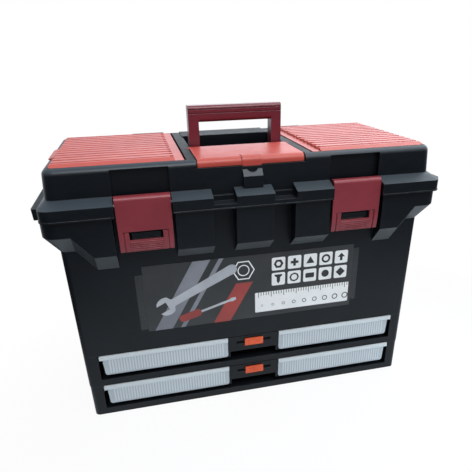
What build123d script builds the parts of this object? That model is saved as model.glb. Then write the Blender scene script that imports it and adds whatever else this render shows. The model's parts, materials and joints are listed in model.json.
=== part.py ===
"""Plastic tool box: a tub on two drawer housings, under a hinged lid with covers, a handle and latches.

Millimetres. X runs along the width, -Y is the front, +Z is up, and the origin is the middle of the foot.
"""
import os

from build123d import *

os.makedirs("parts", exist_ok=True)

# Case: widths at the foot and at the rim, depth, and the height of each storey
foot_width = 514.6
rim_width = 521.0
case_depth = 233.0
case_corner = 8.0
housing_height = 54.2
tub_height = 217.2
wall = 3.0
lower_housing_inset = 0.7

# Clearances and the overrun of cuts
overrun = 2.0
body_gap = 0.4
fit_gap = 0.05
seat_gap = 0.1

# Apron: the flared band under the lid, with its front panels, latch bays and channels
apron_side = 16.5
apron_front = 21.0
apron_rear = 17.0
apron_corner = 22.0
apron_band = 22.1
apron_root = 1.0
facet_drop = 27.0
skirt_drop = 52.2
centre_facet_drop = 19.0
centre_panel_half = 26.0
channel_outer = 57.0
bay_inner_gap = 4.0
bay_outer_gap = 5.5
skirt_shoulder_in = 36.5
skirt_slant = 24.8

# Lid: flange, wall and deck
flange_in = 2.5
flange_front = 5.9
flange_rear = 8.0
flange_corner = 14.0
flange_height = 15.7
flange_slope = 7.4
bead_out = 0.6
bead_height = 1.6
ledge_out = 8.5
ledge_height = 14.3
ledge_end = 21.0
ledge_round = 3.0
ledge_draft = 0.8
lid_height = 61.0
lid_over_depth = 6.0
lid_over_side = 6.8
lid_draft = 3.8
lid_corner = 14.0
lid_top_round = 8.0
lid_floor = 3.5
compartment_rise = 4.8
notch_lip = 6.7
notch_ledge = 14.0
notch_ledge_depth = 3.5
bay_recess = 8.0
bay_top_margin = 5.0

# Padlock boss in the middle of the lid's front
boss_half = 13.4
boss_out = 6.0
boss_front_height = 37.2
boss_rear_height = 45.7
boss_scoop_radius = 9.0
boss_scoop_drop = 4.8

# Side covers, their seats and compartments
cover_well_gap = 16.8
cover_side_rim = 7.0
cover_end_rim = 10.0
cover_plate = 3.2
cover_rise = 3.0
cover_rear_round = 16.0
cover_front_round = 6.0
cover_step = 12.0
cover_front_slope = 9.0
cover_groove_pitch = 16.2
cover_groove_count = 13
cover_groove_width = 5.0
cover_groove_depth = 1.0
cover_notch_width = 8.5
cover_notch_length = 5.0
cover_notch_depth = 2.2
cover_tab_half = 33.0
cover_tab_out = 6.5
cover_tab_droop = 2.5
cover_tab_round = 4.0
cover_tab_place = -19.0
cover_tab_clear = 3.0
finger_depth = 4.0
cover_pivot_in = 5.0
cover_pivot_radius = 1.6
cover_pivot_length = 3.0
cover_hinge_gap = 3.0
cover_hinge_depth = 8.0
cover_ledge = 4.0
cover_edge = 2.4

# Centre cover, handle well and rear band
centre_past_well = 1.4
centre_side_gap = 1.6
centre_rear_gap = 3.5
centre_front_inset = 2.0
centre_wall = 6.0
centre_plate = 3.2
centre_rise = 0.6
centre_lip = 10.6
centre_round = 7.0
centre_tab_half = 13.5
centre_tab_out = 1.2
centre_tab_drop = 1.4
centre_tab_rise = 1.0
centre_tab_length = 15.0
centre_tab_round = 2.2
centre_pivot_in = 3.5
centre_hinge_depth = 10.0
handle_side_gap = 1.7
well_front = -26.0
well_rear_margin = 58.0
well_depth = 25.0
band_past_well = 0.8
band_margin = 7.0
band_rise = 1.5

# Handle
handle_half = 69.5
handle_leg = 15.0
handle_depth = 20.0
handle_front = -20.0
handle_top = 56.0
handle_bar = 23.3
handle_edge = 4.5
handle_grip_round = 6.5
handle_foot_round = 9.5
handle_pivot_drop = 12.5
handle_pivot_radius = 4.0
handle_pivot_length = 3.0
handle_groove_pitch = 5.4
handle_groove = 0.9

# Latches and their pins
latch_inner = 111.5
latch_outer = 182.0
latch_plate = 3.4
latch_drop = 49.6
latch_rise = 24.5
latch_tuck = 2.5
latch_tuck_height = 26.0
latch_cap_depth = 10.5
latch_cap_height = 17.5
latch_cap_round = 5.0
latch_side_gap = 1.5
latch_pin_bite = 8.0
latch_pin_radius = 2.0
latch_pin_back = 7.5
latch_pin_rise = 12.5
latch_knuckle = 5.5
window_side = 13.5
window_drop = 33.1
window_height = 12.0
slit_side = 6.0
slit_width = 1.6
slit_depth = 2.0
grip_rib_count = 5
grip_rib_pitch = 2.7
grip_rib_height = 1.2
grip_rib_out = 0.8
nose_side = 3.0
nose_gap = 0.6
nose_lip = 6.5

# Rear hinges
hinge_middle = 124.0
hinge_width = 52.0
hinge_tub_width = 24.0
hinge_radius = 5.0
hinge_pin_radius = 2.0
hinge_out = 5.5
hinge_box_out = 14.0
hinge_box_drop = 0.6
hinge_box_edge = 4.0

# Drawer housings
post_width = 20.9
passage_gap = 1.6
lip_height = 10.5
rail_gap = 0.8
rail_thickness = 3.0
screw_radius = 2.5
screw_head_radius = 5.0
screw_head_height = 3.0
screw_length = 20.0
screw_bite = 9.0
screw_inset = 9.0
screw_step = 15.5
keeper_drop = 3.0
keeper_thickness = 2.0
keeper_half = 30.0
keeper_front = 5.0
keeper_clear = 1.7

# Drawers: front plate, beam, wings, bins and slide locks (heights above the housing's foot)
plate_half = 40.5
plate_height = 25.3
plate_thickness = 3.6
plate_proud = 1.0
drawer_rear_gap = 21.5
beam_wall = 3.0
beam_drop = 7.0
pull_depth = 24.0
wing_reach = 34.0
wing_thickness = 2.5
bin_gap = 1.0
bin_rim_height = 6.8
bin_rim_out = 3.9
bin_rim_front = 2.2
bin_height = 34.8
bin_draft = 2.0
bin_wall = 1.8
bin_rib_count = 42
bin_rib_pitch = 4.2
bin_rib_width = 2.2
bin_rib_out = 0.8
bin_rib_foot = 3.5
bin_corner = 4.0
runner_foot_length = 10.0
lock_half = 14.7
lock_drop = 3.8
lock_height = 12.0
lock_out = 2.4
lock_slot_half = 27.8
lock_slot_height = 5.0
lock_shank_half = 12.0
lock_back_half = 15.0
lock_back_height = 9.0
lock_back_thickness = 2.0
lock_tongue_half = 6.5
lock_tongue_thickness = 2.5
lock_grip_count = 5
lock_grip_pitch = 4.2
lock_grip_width = 1.4
lock_grip_depth = 0.6

# Label card
label_half = 159.0
label_rise = 31.6
label_head_gap = 9.4
label_thickness = 0.6

# Levels and places that follow from the sizes above
z_tub = 2 * housing_height
z_rim = z_tub + tub_height
z_flange = z_rim + body_gap
z_flange_top = z_flange + flange_height
z_wall_foot = z_flange_top + flange_slope
z_compartment = z_flange_top + compartment_rise
z_lid_floor = z_compartment - lid_floor
z_deck = z_flange + lid_height
y_front = -case_depth / 2
y_rear = case_depth / 2
apron_half = rim_width / 2 + apron_side
y_apron_front = y_front - apron_front
y_apron_rear = y_rear + apron_rear
flange_half = apron_half - flange_in
y_flange_front = y_apron_front - flange_front
y_flange_rear = y_apron_rear + flange_rear
y_lid_front = y_front - lid_over_depth
y_lid_rear = y_rear + lid_over_depth
lid_foot_width = rim_width + 2 * lid_over_side
lid_top_width = lid_foot_width - 2 * lid_draft
skirt_shoulder = apron_half - skirt_shoulder_in
skirt_end = skirt_shoulder - skirt_slant
bay_inner = latch_inner - bay_inner_gap
bay_outer = latch_outer + bay_outer_gap
cover_outer = lid_top_width / 2 - cover_side_rim
cover_depth = y_lid_rear - y_lid_front - 2 * cover_end_rim
well_half = handle_half + handle_side_gap
cover_inner = well_half + cover_well_gap
centre_half = well_half + centre_past_well
band_half = well_half + band_past_well
well_rear = y_lid_rear - well_rear_margin
band_rear = y_lid_rear - band_margin
centre_front = y_lid_front + centre_front_inset
centre_rear = well_front - centre_rear_gap
y_bay = y_lid_front + bay_recess
y_hinge = y_apron_rear + hinge_out
z_hinge = z_rim - hinge_radius
z_cover_foot = z_deck - cover_plate
z_cover_top = z_deck + cover_rise
cover_pivot_x = cover_inner + cover_pivot_in
z_cover_pivot = z_cover_foot + cover_plate / 2
y_centre_pivot = centre_rear - centre_pivot_in
z_centre_top = z_deck + centre_rise
z_centre_foot = z_centre_top - centre_plate
z_centre_pivot = z_centre_foot + centre_plate / 2
z_well = z_deck - well_depth
y_handle_pivot = handle_front + handle_depth / 2
z_handle_pivot = z_deck - handle_pivot_drop
latch_front = y_apron_front
latch_foot = z_rim - latch_drop
latch_top = z_flange + latch_rise
latch_tuck_top = latch_foot + latch_tuck_height
latch_cap_foot = latch_top - latch_cap_height
latch_pin_y = latch_front + latch_pin_back
latch_pin_z = z_flange + latch_pin_rise
window_bottom = z_rim - window_drop
window_top = window_bottom + window_height
label_bottom = z_tub + label_rise
label_top = z_rim - skirt_drop - centre_facet_drop - label_head_gap
bin_inner = plate_half + bin_gap
bin_outer = foot_width / 2 - post_width
drawer_top = housing_height - body_gap
drawer_rear = y_rear - drawer_rear_gap
plate_bottom = drawer_top - plate_height
beam_top = drawer_top - beam_drop
bin_bottom = drawer_top - bin_height
lock_top = drawer_top - lock_drop
lock_bottom = lock_top - lock_height
y_drawer_front = y_front - plate_proud
passage_half = bin_outer + passage_gap
screw_x = foot_width / 2 - lower_housing_inset - screw_inset
screw_rows = {"upper": case_depth / 2 - screw_inset, "lower": case_depth / 2 - screw_inset - screw_step}


def half_width(z):
    """Half of the case's width at a height, by the slight taper of its sides."""
    return (foot_width + (rim_width - foot_width) * z / z_rim) / 2


def span_box(x_span, y_span, z_span, mode=Mode.ADD):
    """Box between two corners, added to or cut from the part that is being built."""
    spans = (x_span, y_span, z_span)
    middle = tuple((min(span) + max(span)) / 2 for span in spans)
    with Locations(middle):
        Box(*(max(span) - min(span) for span in spans), mode=mode)


def round_bar(x_span, y, z, radius, mode=Mode.ADD):
    """Round bar or bore along X."""
    with Locations(((x_span[0] + x_span[1]) / 2, y, z)):
        Cylinder(radius, abs(x_span[1] - x_span[0]), rotation=(0, 90, 0), mode=mode)


def front_prism(points, y_span, mode=Mode.ADD):
    """Prism of an outline of (x, z) points, between two depths."""
    with BuildSketch(Plane.XZ.offset(-max(y_span))) as outline:
        Polygon(*points)
    extrude(outline.sketch, amount=max(y_span) - min(y_span), mode=mode)


def side_prism(points, x_span, mode=Mode.ADD):
    """Prism of a profile of (y, z) points, between two places along the width."""
    with BuildSketch(Plane.YZ.offset(min(x_span))) as outline:
        Polygon(*points)
    extrude(outline.sketch, amount=max(x_span) - min(x_span), mode=mode)


def facet_panel(front_points, drops, mode=Mode.ADD):
    """Apron panel whose lower points drop towards the case wall, which leaves slanted facets below it."""
    with BuildSketch(Plane.XZ.offset(-y_apron_front)) as front_outline:
        Polygon(*front_points)
    with BuildSketch(Plane.XZ.offset(-(y_front + apron_root))) as wall_outline:
        Polygon(*((x, z - drop) for (x, z), drop in zip(front_points, drops)))
    loft([front_outline.sketch, wall_outline.sketch], ruled=True, mode=mode)


def plan_outline(half_x, y_low, y_high, z, radius):
    """Rounded rectangle in plan at a height."""
    with BuildSketch(Plane.XY.offset(z)) as outline:
        with Locations((0, (y_low + y_high) / 2)):
            RectangleRounded(2 * half_x, y_high - y_low, radius)
    return outline.sketch


def cover_plan(side, grow, z):
    """Side cover in plan with rounded outer corners, grown by a clearance."""
    with BuildSketch(Plane.XY.offset(z)) as outline:
        with Locations((side * (cover_inner + cover_outer) / 2, 0)):
            Rectangle(cover_outer - cover_inner + 2 * grow, cover_depth + 2 * grow)
        front_corner = outline.vertices().sort_by_distance((side * cover_outer, -cover_depth / 2))[0]
        fillet(front_corner, radius=cover_front_round)
        rear_corner = outline.vertices().sort_by_distance((side * cover_outer, cover_depth / 2))[0]
        fillet(rear_corner, radius=cover_rear_round)
    return outline.sketch


def save(builder, name):
    """Labels a finished piece and writes it."""
    builder.part.label = name
    export_step(builder.part, f"parts/{name}.step")


sides = (("left", -1), ("right", 1))
storeys = (("lower", 0), ("upper", housing_height))

# Tub: tapered case, flared apron with front panels, hollow inside
panel_top = z_rim - apron_band
flare_half = apron_half - wall
y_flare_rear = y_apron_rear - wall
nose_inset = window_side + nose_side
skirt_z = z_rim - skirt_drop
with BuildPart() as tub:
    front_prism(
        (
            (-half_width(z_tub), z_tub),
            (half_width(z_tub), z_tub),
            (rim_width / 2, z_rim),
            (-rim_width / 2, z_rim),
        ),
        (y_front, y_rear),
    )
    upright_edges = tub.edges().filter_by(Axis.X, reverse=True).filter_by(Axis.Y, reverse=True)
    fillet(upright_edges, radius=case_corner)

    # Flared band all round, then its front is opened for the latch bays and channels
    loft(
        [
            plan_outline(
                rim_width / 2 - apron_root,
                y_front + apron_root,
                y_rear - apron_root,
                panel_top - facet_drop,
                case_corner,
            ),
            plan_outline(apron_half, y_apron_front, y_apron_rear, panel_top, apron_corner),
        ],
        ruled=True,
    )
    extrude(
        plan_outline(apron_half, y_apron_front, y_apron_rear, panel_top, apron_corner),
        amount=apron_band,
    )
    span_box(
        (-bay_outer, bay_outer),
        (y_apron_front - overrun, y_front),
        (panel_top - facet_drop - overrun, z_rim + overrun),
        mode=Mode.SUBTRACT,
    )

    # Front panels between the channels and latch bays
    facet_panel(
        (
            (-centre_panel_half, z_rim),
            (-centre_panel_half, skirt_z),
            (centre_panel_half, skirt_z),
            (centre_panel_half, z_rim),
        ),
        (0, centre_facet_drop, centre_facet_drop, 0),
    )
    for _, side in sides:
        facet_panel(
            (
                (side * channel_outer, z_rim),
                (side * channel_outer, skirt_z),
                (side * bay_inner, skirt_z),
                (side * bay_inner, z_rim),
            ),
            (0, centre_facet_drop, centre_facet_drop, 0),
        )
        facet_panel(
            (
                (side * bay_outer, z_rim),
                (side * bay_outer, skirt_z),
                (side * skirt_end, skirt_z),
                (side * skirt_shoulder, panel_top),
                (side * skirt_shoulder, z_rim),
            ),
            (0, facet_drop, facet_drop, facet_drop, 0),
        )

    # Inside: straight hollow, flared hollow at the sides and rear, pockets behind the front panels
    front_prism(
        (
            (-half_width(z_tub) + wall, z_tub + wall),
            (half_width(z_tub) - wall, z_tub + wall),
            (rim_width / 2 - wall, z_rim + overrun),
            (-rim_width / 2 + wall, z_rim + overrun),
        ),
        (y_front + wall, y_rear - wall),
        mode=Mode.SUBTRACT,
    )
    loft(
        [
            plan_outline(
                rim_width / 2 - wall - apron_root,
                y_front + wall + apron_root,
                y_rear - wall - apron_root,
                panel_top - facet_drop + wall,
                case_corner,
            ),
            plan_outline(flare_half, y_front + wall, y_flare_rear, panel_top + wall, case_corner),
        ],
        ruled=True,
        mode=Mode.SUBTRACT,
    )
    extrude(
        plan_outline(flare_half, y_front + wall, y_flare_rear, panel_top + wall, case_corner),
        amount=apron_band,
        mode=Mode.SUBTRACT,
    )
    pocket_depths = (y_apron_front + wall, y_front + wall + overrun)
    span_box(
        (-centre_panel_half + wall, centre_panel_half - wall),
        pocket_depths,
        (skirt_z + wall, z_rim + overrun),
        mode=Mode.SUBTRACT,
    )
    for _, side in sides:
        span_box(
            (side * (channel_outer + wall), side * (bay_inner - wall)),
            pocket_depths,
            (skirt_z + wall, z_rim + overrun),
            mode=Mode.SUBTRACT,
        )
        front_prism(
            (
                (side * (bay_outer + wall), z_rim + overrun),
                (side * (bay_outer + wall), skirt_z + wall),
                (side * (skirt_end - wall), skirt_z + wall),
                (side * (skirt_shoulder - wall), panel_top + wall),
                (side * (apron_half - apron_corner), panel_top + wall),
                (side * (apron_half - apron_corner), z_rim + overrun),
            ),
            pocket_depths,
            mode=Mode.SUBTRACT,
        )

        # Catch nose that shows in the latch's window
        side_prism(
            (
                (y_front + wall, window_top - nose_side),
                (latch_front + latch_plate + nose_gap, window_top - nose_side),
                (latch_front + latch_plate + nose_gap, window_top - nose_side - nose_lip),
                (y_front + wall, window_bottom - nose_side - nose_lip),
            ),
            (side * (latch_inner + nose_inset), side * (latch_outer - nose_inset)),
        )

        # Rear hinge knuckle with its arm to the apron
        knuckle_span = (
            side * hinge_middle - hinge_tub_width / 2,
            side * hinge_middle + hinge_tub_width / 2,
        )
        round_bar(knuckle_span, y_hinge, z_hinge, hinge_radius)
        span_box(knuckle_span, (y_apron_rear - overrun, y_hinge), (z_hinge - hinge_radius, z_rim))
        round_bar(
            (knuckle_span[0] - overrun, knuckle_span[1] + overrun),
            y_hinge,
            z_hinge,
            hinge_pin_radius + fit_gap,
            mode=Mode.SUBTRACT,
        )

        # Keeper of the upper drawer's slide lock, under the floor
        span_box(
            (side * (lock_tongue_half + keeper_clear), side * keeper_half),
            (y_front + keeper_front, y_front + keeper_front + keeper_thickness),
            (z_tub - keeper_drop, z_tub + wall / 2),
        )

    # Screw holes in the floor's corners
    with Locations((0, 0, z_tub + wall / 2)):
        with GridLocations(2 * screw_x, 2 * screw_rows["upper"], 2, 2):
            Cylinder(screw_radius + seat_gap, wall + overrun, mode=Mode.SUBTRACT)
save(tub, "tub")

# Drawer housings: floor with a front lip, side rails for the bins, rear wall and screw posts
rail_top = drawer_top - bin_rim_height - body_gap
rail_inner = bin_outer - bin_rim_out + rail_gap
for storey, z_foot in storeys:
    inset = lower_housing_inset if storey == "lower" else 0
    z_head = z_foot + housing_height
    with BuildPart() as housing:
        front_prism(
            (
                (inset - half_width(z_foot), z_foot),
                (half_width(z_foot) - inset, z_foot),
                (half_width(z_head) - inset, z_head),
                (inset - half_width(z_head), z_head),
            ),
            (y_front, y_rear),
        )
        upright_edges = housing.edges().filter_by(Axis.X, reverse=True).filter_by(Axis.Y, reverse=True)
        fillet(upright_edges, radius=case_corner)
        span_box(
            (-passage_half, passage_half),
            (y_front + wall, y_rear - wall),
            (z_foot + wall, z_head + overrun),
            mode=Mode.SUBTRACT,
        )
        span_box(
            (-passage_half, passage_half),
            (y_front - overrun, y_front + wall),
            (z_foot + lip_height, z_head + overrun),
            mode=Mode.SUBTRACT,
        )
        for _, side in sides:
            # Rail under the bins' rims, and the hollow in the side wall behind it
            span_box(
                (side * rail_inner, side * (passage_half + wall)),
                (y_front + wall, y_rear - wall / 2),
                (z_foot + rail_top - rail_thickness, z_foot + rail_top),
            )
            span_box(
                (side * (passage_half + wall), side * (half_width(z_foot) - inset - wall)),
                (
                    screw_head_radius + wall - screw_rows["lower"],
                    screw_rows["lower"] - screw_head_radius - wall,
                ),
                (z_foot - overrun, z_head - wall),
                mode=Mode.SUBTRACT,
            )
            if storey == "upper":
                # Keeper of the lower drawer's slide lock
                span_box(
                    (side * (lock_tongue_half + keeper_clear), side * keeper_half),
                    (y_front + keeper_front, y_front + keeper_front + keeper_thickness),
                    (z_foot - keeper_drop, z_foot + wall / 2),
                )
        if storey == "upper":
            # Pilot holes for the tub's screws in the top, and for the lower housing's screws underneath
            pilot_depth = screw_length - wall
            with Locations((0, 0, z_head - pilot_depth / 2)):
                with GridLocations(2 * screw_x, 2 * screw_rows["upper"], 2, 2):
                    Cylinder(screw_radius + fit_gap, pilot_depth + seat_gap, mode=Mode.SUBTRACT)
            with Locations((0, 0, z_foot + screw_bite / 2)):
                with GridLocations(2 * screw_x, 2 * screw_rows["lower"], 2, 2):
                    Cylinder(screw_radius + fit_gap, screw_bite + seat_gap, mode=Mode.SUBTRACT)
        else:
            # Screw holes with deep counterbores from below
            bore_depth = housing_height - screw_length + screw_bite
            with Locations((0, 0, (z_foot + z_head) / 2)):
                with GridLocations(2 * screw_x, 2 * screw_rows["lower"], 2, 2):
                    Cylinder(screw_radius + seat_gap, housing_height + overrun, mode=Mode.SUBTRACT)
            with Locations((0, 0, z_foot + bore_depth / 2)):
                with GridLocations(2 * screw_x, 2 * screw_rows["lower"], 2, 2):
                    Cylinder(screw_head_radius + seat_gap, bore_depth, mode=Mode.SUBTRACT)
    save(housing, f"drawer_housing_{storey}")

    # Four pan head screws: down through the tub's floor, or up into the housing above
    z_seat = z_head + wall if storey == "upper" else z_head + screw_bite - screw_length
    shank_way = -1 if storey == "upper" else 1
    with BuildPart() as screws:
        with Locations((0, 0, z_seat + shank_way * screw_length / 2)):
            with GridLocations(2 * screw_x, 2 * screw_rows[storey], 2, 2):
                Cylinder(screw_radius, screw_length)
        with Locations((0, 0, z_seat - shank_way * screw_head_height / 2)):
            with GridLocations(2 * screw_x, 2 * screw_rows[storey], 2, 2):
                Cylinder(screw_head_radius, screw_head_height)
    save(screws, f"housing_screws_{storey}")

# Card label on the front wall
with BuildPart() as label_card:
    span_box((-label_half, label_half), (y_front - label_thickness, y_front), (label_bottom, label_top))
save(label_card, "label_card")

# Steel pins of the rear hinges and of the latches
bay_low = latch_inner - latch_side_gap
bay_high = latch_outer + latch_side_gap
for side_name, side in sides:
    with BuildPart() as hinge_pin:
        hinge_span = (side * hinge_middle - hinge_width / 2, side * hinge_middle + hinge_width / 2)
        round_bar(hinge_span, y_hinge, z_hinge, hinge_pin_radius)
    save(hinge_pin, f"hinge_pin_{side_name}")
    with BuildPart() as latch_pin:
        pin_span = (side * (bay_low - latch_pin_bite), side * (bay_high + latch_pin_bite))
        round_bar(pin_span, latch_pin_y, latch_pin_z, latch_pin_radius)
    save(latch_pin, f"latch_pin_{side_name}")

# Lid: wall and deck, flange with latch bays and notches, compartments, handle well and hinge knuckles
with BuildPart() as lid:
    front_prism(
        (
            (-lid_foot_width / 2, z_flange_top),
            (lid_foot_width / 2, z_flange_top),
            (lid_top_width / 2, z_deck),
            (-lid_top_width / 2, z_deck),
        ),
        (y_lid_front, y_lid_rear),
    )
    upright_edges = lid.edges().filter_by(Axis.X, reverse=True).filter_by(Axis.Y, reverse=True)
    fillet(upright_edges, radius=lid_corner)
    fillet(lid.faces().sort_by(Axis.Z)[-1].edges(), radius=lid_top_round)

    # Flange with a bead along its foot, side ledges to lift it by, and a slope up to the wall
    extrude(
        plan_outline(flange_half, y_flange_front, y_flange_rear, z_flange, flange_corner),
        amount=flange_height,
    )
    bead_rear = y_flange_rear + bead_out
    extrude(
        plan_outline(flange_half + bead_out, y_flange_front - bead_out, bead_rear, z_flange, flange_corner),
        amount=bead_height,
    )
    ledge_half = flange_half + ledge_out
    ledge_ends = (y_flange_front + ledge_end, y_flange_rear - ledge_end)
    loft(
        [
            plan_outline(ledge_half - ledge_draft, *ledge_ends, z_flange, ledge_round),
            plan_outline(ledge_half, *ledge_ends, z_flange + ledge_height, ledge_round),
        ],
        ruled=True,
    )
    loft(
        [
            plan_outline(flange_half, y_flange_front, y_flange_rear, z_flange_top, flange_corner),
            plan_outline(
                lid_foot_width / 2 - apron_root,
                y_lid_front + apron_root,
                y_lid_rear - apron_root,
                z_wall_foot,
                lid_corner,
            ),
        ],
        ruled=True,
    )

    # Padlock boss with a finger scoop in its slanted top
    side_prism(
        (
            (y_lid_front + wall, z_flange_top),
            (y_lid_front - boss_out, z_flange_top),
            (y_lid_front - boss_out, z_flange + boss_front_height),
            (y_lid_front, z_flange + boss_rear_height),
            (y_lid_front + wall, z_flange + boss_rear_height),
        ),
        (-boss_half, boss_half),
    )
    with Locations((0, y_lid_front - boss_out, z_flange + boss_rear_height + boss_scoop_drop)):
        Cylinder(boss_scoop_radius, 2 * boss_out, rotation=(90, 0, 0), mode=Mode.SUBTRACT)

    # Hollow underside
    span_box(
        (wall - lid_top_width / 2, lid_top_width / 2 - wall),
        (y_bay + wall, y_lid_rear - wall),
        (z_flange - overrun, z_lid_floor),
        mode=Mode.SUBTRACT,
    )
    span_box(
        (wall - well_half, well_half - wall),
        (well_front + wall, well_rear - wall),
        (z_flange, z_well - wall),
        mode=Mode.SUBTRACT,
    )
    span_box(
        (wall - band_half, band_half - wall),
        (well_rear + wall, y_lid_rear - lid_top_round),
        (z_flange, z_deck - wall),
        mode=Mode.SUBTRACT,
    )
    # Hollows from below in the bars beside the well and in the thick rims
    z_rim_hollow = z_cover_foot - body_gap - wall
    rim_depths = (cover_depth / 2 - cover_ledge + wall, y_lid_rear - wall)
    bar_span = (well_half + handle_pivot_length + wall, cover_inner - cover_hinge_gap - wall)
    for _, side in sides:
        span_box(
            (side * bar_span[0], side * bar_span[1]),
            (y_bay + wall, y_lid_rear - lid_top_round),
            (z_flange, z_deck - wall),
            mode=Mode.SUBTRACT,
        )
        span_box(
            (side * (cover_inner + cover_ledge), side * (cover_outer - cover_ledge)),
            rim_depths,
            (z_flange, z_rim_hollow),
            mode=Mode.SUBTRACT,
        )
        span_box(
            (side * (bay_high + wall), side * (cover_outer - cover_ledge)),
            (-rim_depths[1], -rim_depths[0]),
            (z_flange, z_rim_hollow),
            mode=Mode.SUBTRACT,
        )
        span_box(
            (side * (cover_outer - cover_ledge + wall), side * (lid_top_width / 2 - wall)),
            (lid_corner - y_lid_rear, y_lid_rear - lid_corner),
            (z_flange, z_rim_hollow),
            mode=Mode.SUBTRACT,
        )
        span_box(
            (side * lid_top_width / 2, side * (flange_half - wall)),
            (ledge_ends[0] + wall, ledge_ends[1] - wall),
            (z_flange - overrun, z_flange_top - wall),
            mode=Mode.SUBTRACT,
        )
    flange_pockets = (
        (wall - centre_panel_half, centre_panel_half - wall),
        (channel_outer + wall, bay_low - latch_pin_bite - wall),
        (wall - bay_low + latch_pin_bite, -channel_outer - wall),
        (bay_high + latch_pin_bite + wall, flange_half - flange_corner),
        (flange_corner - flange_half, -bay_high - latch_pin_bite - wall),
    )
    for pocket in flange_pockets:
        span_box(
            pocket,
            (y_flange_front + wall, y_bay + wall + overrun),
            (z_flange - overrun, z_flange_top - wall),
            mode=Mode.SUBTRACT,
        )

    for _, side in sides:
        # Bay and raised recess in which the latch swings, with the bores of its pin
        span_box(
            (side * bay_low, side * bay_high),
            (y_flange_front - overrun, y_bay),
            (z_flange - overrun, z_deck - bay_top_margin),
            mode=Mode.SUBTRACT,
        )
        round_bar(
            (side * (bay_low - latch_pin_bite), side * (bay_high + latch_pin_bite)),
            latch_pin_y,
            latch_pin_z,
            latch_pin_radius + fit_gap,
            mode=Mode.SUBTRACT,
        )

        # Notch in the flange above the tub's channel
        notch = (side * (centre_panel_half + seat_gap), side * (channel_outer - seat_gap))
        span_box(
            notch,
            (y_flange_front - overrun, y_lid_front - notch_ledge_depth),
            (z_flange + notch_lip, z_wall_foot + overrun),
            mode=Mode.SUBTRACT,
        )
        span_box(
            notch,
            (y_flange_front - overrun, y_lid_front),
            (z_flange + notch_ledge, z_wall_foot + overrun),
            mode=Mode.SUBTRACT,
        )

        # Compartment under a side cover, with the cover's seat, finger notch, hinge groove and pivot holes
        span_box(
            (side * (cover_inner + cover_ledge), side * (cover_outer - cover_ledge)),
            (cover_ledge - cover_depth / 2, cover_depth / 2 - cover_ledge),
            (z_compartment, z_deck + overrun),
            mode=Mode.SUBTRACT,
        )
        extrude(
            cover_plan(side, body_gap, z_cover_foot - body_gap),
            amount=cover_plate + body_gap + overrun,
            mode=Mode.SUBTRACT,
        )
        span_box(
            (side * (cover_outer - cover_edge), side * lid_foot_width / 2),
            (
                cover_tab_place - cover_tab_half - cover_tab_clear,
                cover_tab_place + cover_tab_half + cover_tab_clear,
            ),
            (z_deck - finger_depth, z_deck + overrun),
            mode=Mode.SUBTRACT,
        )
        span_box(
            (side * (cover_inner - cover_hinge_gap), side * (cover_pivot_x + cover_ledge)),
            (-cover_depth / 2 - body_gap, cover_depth / 2 + body_gap),
            (z_deck - cover_hinge_depth, z_deck),
            mode=Mode.SUBTRACT,
        )
        with Locations((side * cover_pivot_x, 0, z_cover_pivot)):
            Cylinder(
                cover_pivot_radius + fit_gap,
                cover_depth + 2 * cover_pivot_length + 2 * body_gap,
                rotation=(90, 0, 0),
                mode=Mode.SUBTRACT,
            )

        # Hinge box on the rear wall, hollow from below
        hinge_span = (side * hinge_middle - hinge_width / 2, side * hinge_middle + hinge_width / 2)
        y_box_rear = y_lid_rear + hinge_box_out
        z_box_top = z_deck - hinge_box_drop
        side_prism(
            (
                (y_lid_rear - lid_top_round, z_flange_top),
                (y_box_rear, z_flange_top),
                (y_box_rear, z_box_top - hinge_box_edge),
                (y_box_rear - hinge_box_edge, z_box_top),
                (y_lid_rear - lid_top_round, z_box_top),
            ),
            hinge_span,
        )
        span_box(
            (hinge_span[0] + wall, hinge_span[1] - wall),
            (y_lid_rear, y_box_rear - wall),
            (z_flange - overrun, z_deck - wall),
            mode=Mode.SUBTRACT,
        )

        # Lid knuckles on both sides of the tub's knuckle
        for end in (-1, 1):
            near = side * hinge_middle + end * (hinge_tub_width / 2 + body_gap)
            far = side * hinge_middle + end * hinge_width / 2
            round_bar((near, far), y_hinge, z_hinge, hinge_radius)
            side_prism(
                (
                    (y_hinge - hinge_radius, z_hinge),
                    (y_hinge + hinge_radius, z_hinge),
                    (y_hinge + hinge_radius, z_flange),
                    (y_flange_rear, z_flange + hinge_radius),
                    (y_hinge - hinge_radius, z_flange + hinge_radius),
                ),
                (near, far),
            )
            round_bar((near, far), y_hinge, z_hinge, hinge_pin_radius + fit_gap, mode=Mode.SUBTRACT)

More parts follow.
